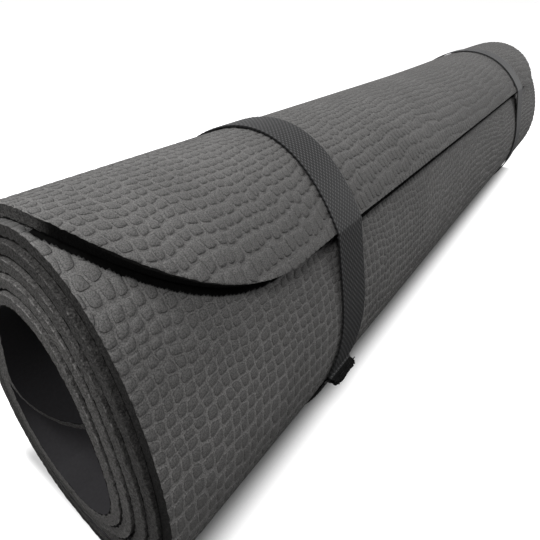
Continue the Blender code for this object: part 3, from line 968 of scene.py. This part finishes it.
def band_tree():
    """Raises the weave on a flat band, frays its ends and winds it round the roll.

    The raw ends are torn back by up to `Ragged`, in a few large lobes with jagged rims, and the
    stitches draw them in.
    """
    tree, add, given = new_tree("weave_and_wind", {
        "Path": "Object", "Start": "Float", "Length": "Float", "Rib": "Float",
        "Repeat": "Float", "Relief": "Float", "Ragged": "Float", "Drawn in": "Float",
        "Yarn": "Material", "Ends": "Material"})
    place = add("GeometryNodeInputPosition")[0]
    flat = add(SPLIT, [place])
    rib = add(MATH, [flat["Y"], given["Rib"]], operation="DIVIDE")[0]
    rib_phase = add(MATH, [rib, math.pi], operation="MULTIPLY")[0]
    rib_wave = add(MATH, [rib_phase], operation="SINE")[0]
    rib_rise = add(MATH, [rib_wave], operation="ABSOLUTE")[0]
    repeats = add(MATH, [flat["X"], given["Repeat"]], operation="DIVIDE")[0]
    rib_number = add(MATH, [rib], operation="FLOOR")[0]
    shift = add(MATH, [rib_number, 0.5, repeats], operation="MULTIPLY_ADD")[0]
    phase = add(MATH, [shift, 2 * math.pi], operation="MULTIPLY")[0]
    wave = add(MATH, [phase], operation="COSINE")[0]
    over = smooth_steps(add, (wave, -1.0, 1.0, 0.30, 1.0))
    weave = add(MATH, [rib_rise, over], operation="MULTIPLY")[0]
    stored = add(STORE, {"Geometry": given["Geometry"], "Name": "weave", "Value": weave},
                 data_type="FLOAT", domain="POINT")[0]
    raised = add(MATH, [weave, given["Relief"]], operation="MULTIPLY")[0]
    face = add(MATH, [flat["Z"]], operation="SIGN")[0]
    rise = add(MATH, [raised, face], operation="MULTIPLY")[0]
    half = add(MATH, [given["Length"], 0.5], operation="MULTIPLY")[0]
    off = add(MATH, [flat["X"], half], operation="SUBTRACT")[0]
    far_off = add(MATH, [off], operation="ABSOLUTE")[0]
    left = add(MATH, [half, far_off], operation="SUBTRACT")[0]
    torn = add(NOISE, {"Vector": place, "Scale": FRAYED_LOBES, "Detail": 3.0,
                       "Roughness": 0.7})["Fac"]
    lobes = smooth_steps(add, (torn, 0.40, 0.60, -0.3, 1.0),
                         (left, 0.0, SEAM_HEIGHT - NEEDLE_ROW_HEIGHT, 1.0, 0.0))
    ragged = add(MATH, [lobes, given["Ragged"]], operation="MULTIPLY")[0]
    end = add(MATH, [off], operation="SIGN")[0]
    along = add(MATH, [ragged, end], operation="MULTIPLY")[0]
    edge_wave = add(MATH, [wave, given["Relief"]], operation="MULTIPLY")[0]
    from_middle = add(MATH, [flat["Y"], BAND_WIDTH / 2], operation="SUBTRACT")[0]
    beside = add(MATH, [from_middle], operation="ABSOLUTE")[0]
    at_edge = add(MATH, [beside, BAND_WIDTH / 2 - 0.0001], operation="GREATER_THAN")[0]
    edge_rise = add(MATH, [edge_wave, at_edge], operation="MULTIPLY")[0]
    edge_side = add(MATH, [from_middle], operation="SIGN")[0]
    outwards = add(MATH, [edge_rise, edge_side], operation="MULTIPLY")[0]
    near_end = smooth_steps(add, (left, 0.0, SEAM_HEIGHT, 1.0, 0.0))
    drawn = add(MATH, [near_end, given["Drawn in"]], operation="MULTIPLY")[0]
    inwards = add(MATH, [from_middle, drawn], operation="MULTIPLY")[0]
    sideways = add(MATH, [outwards, inwards], operation="SUBTRACT")[0]
    woven = add(SET_POSITION, {"Geometry": stored,
                               "Offset": add(JOIN, [along, sideways, rise])[0]})[0]
    wound = wind(add, woven, given["Path"], given["Start"])
    end_tree(add, wound, [given["Yarn"], given["Ends"]])
    return tree


class MAT_OT_elastic_bands(bpy.types.Operator):
    """Makes the two woven elastic bands, each wound round the roll to its sewn ends"""

    bl_idname = "camping_mat.elastic_bands"
    bl_label = "Elastic bands"

    def execute(self, context):
        sizes = context.scene.mat_bands
        yarns = {"front_band": woven_elastic("woven_elastic", sizes.yarn_colour,
                                             sizes.gap_colour, 0.35),
                 "rear_band": woven_elastic("stretched_elastic", sizes.yarn_colour,
                                            sizes.worn_colour, 0.35)}
        reliefs = {"front_band": sizes.relief, "rear_band": sizes.relief / 2}
        # Painted shade in part: the raw ends' near-black colour also stands for the shade they sit
        # in.
        ends = woven_elastic("frayed_elastic", sizes.end_colour, sizes.end_colour, 0.1)
        tree = band_tree()
        for name, yarn in yarns.items():
            path = path_object(name + "_path", band_path(name))
            places = np.array([vertex.co for vertex in path.data.vertices])
            length = np.linalg.norm(np.diff(places, axis=0), axis=1).sum() - 2 * TRIMMED
            made = run_tree(name + "_elastic", flat_band(length, sizes), tree, {
                "Path": path, "Start": TRIMMED, "Length": length, "Rib": sizes.rib,
                "Repeat": sizes.weave, "Relief": reliefs[name], "Ragged": RAGGED,
                "Drawn in": DRAWN_IN, "Yarn": yarn, "Ends": ends})
            bpy.data.objects.remove(path)
            finish_piece(made, name, [name], 50.0)
        return {"FINISHED"}


def stitch_points(name):
    """The thread's route in and out through the needle holes of a band's sewn ends."""
    seam, tangent, outward = band_line(SEAM_ANGLES[name], 0.0)[1:]
    middle = seam + outward * NEEDLE_ROW_HEIGHT
    margin = (BAND_WIDTH - STITCHES * STITCH_LENGTH) / 2
    drift = float(band_drift(name, SEAM_ANGLES[name]))
    start = AXIS + Vector((middle.x, BAND_INSETS[name] + drift + margin, middle.y))
    side = SEAM_GAP / 2 + BAND_THICKNESS + THREAD_CLEARANCE + THREAD_DIAMETER / 2
    route = [(-STITCH_LENGTH / 2, side), (-THREAD_CORNER, side)]
    for index in range(STITCHES + 1):
        along = index * STITCH_LENGTH
        near = side - math.copysign(THREAD_CORNER, side)
        if index > 0:
            route.append((along - THREAD_CORNER, side))
        route += [(along, near), (along, -near), (along + THREAD_CORNER, -side)]
        side = -side
    route.append((STITCHES * STITCH_LENGTH + STITCH_LENGTH / 2, side))
    across = Vector((tangent.x, 0.0, tangent.y))
    return [start + Vector((0.0, along, 0.0)) + across * out for along, out in route]


def thread_tree():
    """Lays two plies round each other along the stitches' route."""
    tree, add, given = new_tree("two_ply_thread", {"Diameter": "Float", "Lay": "Float",
                                                   "Thread": "Material"})
    step, radius, aside = [add(MATH, [given["Diameter"], share], operation="MULTIPLY")[0]
                           for share in (0.2, 0.27, 0.23)]
    curve = add("GeometryNodeMeshToCurve", [given["Geometry"]])[0]
    even = add("GeometryNodeResampleCurve", {"Curve": curve, "Length": step}, mode="LENGTH")[0]
    run = add("GeometryNodeSplineParameter")["Length"]
    lays = add(MATH, [run, given["Lay"]], operation="DIVIDE")[0]
    turn = add(MATH, [lays, 2 * math.pi], operation="MULTIPLY")[0]
    tilted = add("GeometryNodeSetCurveTilt", {"Curve": even, "Tilt": turn})[0]
    joined = add("GeometryNodeJoinGeometry")[0]
    for sign in (-1.0, 1.0):
        ply = add("GeometryNodeCurvePrimitiveCircle", {"Resolution": 8, "Radius": radius})[0]
        beside = add(MATH, [aside, sign], operation="MULTIPLY")[0]
        profile = add("GeometryNodeTransform",
                      {"Geometry": ply, "Translation": add(JOIN, [beside])[0]})[0]
        swept = add("GeometryNodeCurveToMesh", {"Curve": tilted, "Profile Curve": profile,
                                                "Fill Caps": True})[0]
        connect(joined.node, [swept])
    marked = add(STORE, {"Geometry": joined, "Name": "side", "Value": 0}, data_type="INT",
                 domain="FACE")[0]
    end_tree(add, marked, [given["Thread"]])
    return tree


class MAT_OT_seam_threads(bpy.types.Operator):
    """Makes the running stitches that hold the sewn ends of the two bands"""

    bl_idname = "camping_mat.seam_threads"
    bl_label = "Seam threads"

    def execute(self, context):
        thread = sewing_thread(context.scene.mat_bands.thread_colour)
        tree = thread_tree()
        for name in SEAM_ANGLES:
            route = line_mesh(name + "_route", stitch_points(name))
            made = run_tree(name + "_stitches", route, tree, {
                "Diameter": THREAD_DIAMETER, "Lay": THREAD_LAY, "Thread": thread})
            finish_piece(made, name, [name + "_thread"], 60.0)
        return {"FINISHED"}


class MAT_OT_stage(bpy.types.Operator):
    """Makes the white floor, the soft studio light and the camera at the photograph's angle"""

    bl_idname = "camping_mat.stage"
    bl_label = "Stage"

    def execute(self, context):
        sizes = context.scene.mat_stage
        make_floor()
        make_world(sizes.ambient)
        middle = Vector((AXIS.x, 0.0, AXIS.z))
        for name, (place, aim, side, power) in LAMPS.items():
            soft_lamp(name, middle + Vector(place), middle + Vector(aim), side,
                      getattr(sizes, power))
        make_camera()
        context.scene.view_settings.view_transform = "Standard"
        return {"FINISHED"}


def make_floor():
    """A large white floor: the camera sees it glowing white, but the glow fades out round the
    roll's footprint, a painted shadow that the lamps' own shadow deepens.
    """
    bpy.ops.mesh.primitive_plane_add(size=FLOOR_SIDE, location=(0.0, 0.0, 0.0))
    floor = bpy.context.object
    floor.name = "floor"
    material, add, shader = new_material("white_studio_floor")
    place = add(SPLIT, [add(COORDINATES)["Object"]])
    squares = []
    for axis, half, weight in (("X", FOOTPRINT_HALF, 1.0), ("Y", MAT_WIDTH / 2, END_SHADOW)):
        off = add(MATH, [place[axis]], operation="ABSOLUTE")[0]
        beyond = add(MATH, [off, half], operation="SUBTRACT")[0]
        outside = add(MATH, [beyond, 0.0], operation="MAXIMUM")[0]
        weighed = add(MATH, [outside, weight], operation="MULTIPLY")[0]
        squares.append(add(MATH, [weighed, weighed], operation="MULTIPLY")[0])
    away = add(MATH, [add(MATH, squares, operation="ADD")[0]], operation="SQRT")[0]
    # Painted shadow: the glow fades out close to the roll.
    clear = smooth_steps(add, (away, 0.0, SHADOW_REACH))
    seen = add("ShaderNodeLightPath")["Is Camera Ray"]
    glow = add(MATH, [clear, seen], operation="MULTIPLY")[0]
    base = add("ShaderNodeMix", {0: seen, 6: (0.14, 0.14, 0.14, 1.0),
                                 7: (0.60, 0.60, 0.60, 1.0)}, data_type="RGBA")[2]
    connect(shader, {"Base Color": base, "Roughness": 0.9, "Specular IOR Level": 0.1,
                     "Emission Color": (1.0, 1.0, 1.0, 1.0), "Emission Strength": glow})
    floor.data.materials.append(material)


def make_world(ambient):
    """White behind everything, and an even dim light from all round."""
    world = bpy.data.worlds.new("studio")
    world.use_nodes = True
    add = partial(add_node, world.node_tree)
    path = add("ShaderNodeLightPath")
    clear = path["Is Camera Ray"]
    for ray in ("Is Glossy Ray", "Is Transmission Ray"):
        clear = add(MATH, [clear, path[ray]], operation="MAXIMUM")[0]
    strength = add("ShaderNodeMapRange", {"Value": clear, "To Min": ambient, "To Max": 1.0})[0]
    connect(world.node_tree.nodes["Background"], {"Color": (1.0, 1.0, 1.0, 1.0),
                                                  "Strength": strength})
    bpy.context.scene.world = world


def soft_lamp(name, place, aim, side, power):
    """A square softbox that points at `aim`."""
    lamp = bpy.data.lights.new(name, "AREA")
    lamp.size = side
    lamp.energy = power
    made = new_object(name, lamp)
    made.location = place
    made.rotation_euler = (aim - place).to_track_quat("-Z", "Y").to_euler()


def make_camera():
    """The camera, close to the roll's front end, as in the photograph."""
    camera = bpy.data.cameras.new("camera")
    camera.lens = CAMERA_LENS_MM
    camera.sensor_width = CAMERA_SENSOR_MM
    camera.shift_x = 0.5 - VIEW_CENTRE_PX[0] / PHOTO_SIDE_PX
    camera.shift_y = VIEW_CENTRE_PX[1] / PHOTO_SIDE_PX - 0.5
    camera.clip_start = 0.01
    made = new_object("camera", camera)
    made.location = AXIS + Vector(CAMERA_PLACE)
    made.rotation_euler = (math.radians(90.0 - CAMERA_ELEVATION), 0.0,
                           math.radians(CAMERA_AZIMUTH))
    bpy.context.scene.camera = made


class MAT_PT_panel(bpy.types.Panel):
    """Lists the sizes and the steps of the mat"""

    bl_idname = "MAT_PT_panel"
    bl_label = "Camping mat"
    bl_space_type = "VIEW_3D"
    bl_region_type = "UI"
    bl_category = "Camping mat"

    def draw(self, context):
        for group, steps in PANEL_ROWS:
            box = self.layout.box()
            sizes = getattr(context.scene, group)
            for name in sizes.__annotations__:
                box.prop(sizes, name)
            for step in steps:
                box.operator(step)


PANEL_ROWS = (
    ("mat_foam", ("camping_mat.foam_sheet",)),
    ("mat_bands", ("camping_mat.elastic_bands", "camping_mat.seam_threads")),
    ("mat_stage", ("camping_mat.stage",)),
)
GROUPS = {"mat_foam": FoamSizes, "mat_bands": BandSizes, "mat_stage": StageSizes}
CLASSES = (FoamSizes, BandSizes, StageSizes, MAT_OT_foam_sheet, MAT_OT_elastic_bands,
           MAT_OT_seam_threads, MAT_OT_stage, MAT_PT_panel)


def register():
    for item in CLASSES:
        bpy.utils.register_class(item)
    for name, group in GROUPS.items():
        setattr(bpy.types.Scene, name, bpy.props.PointerProperty(type=group))


def unregister():
    for name in GROUPS:
        delattr(bpy.types.Scene, name)
    for item in reversed(CLASSES):
        bpy.utils.unregister_class(item)


def main():
    register()
    bpy.ops.camping_mat.foam_sheet()
    bpy.ops.camping_mat.elastic_bands()
    bpy.ops.camping_mat.seam_threads()
    bpy.ops.camping_mat.stage()


if __name__ == "__main__":
    main()
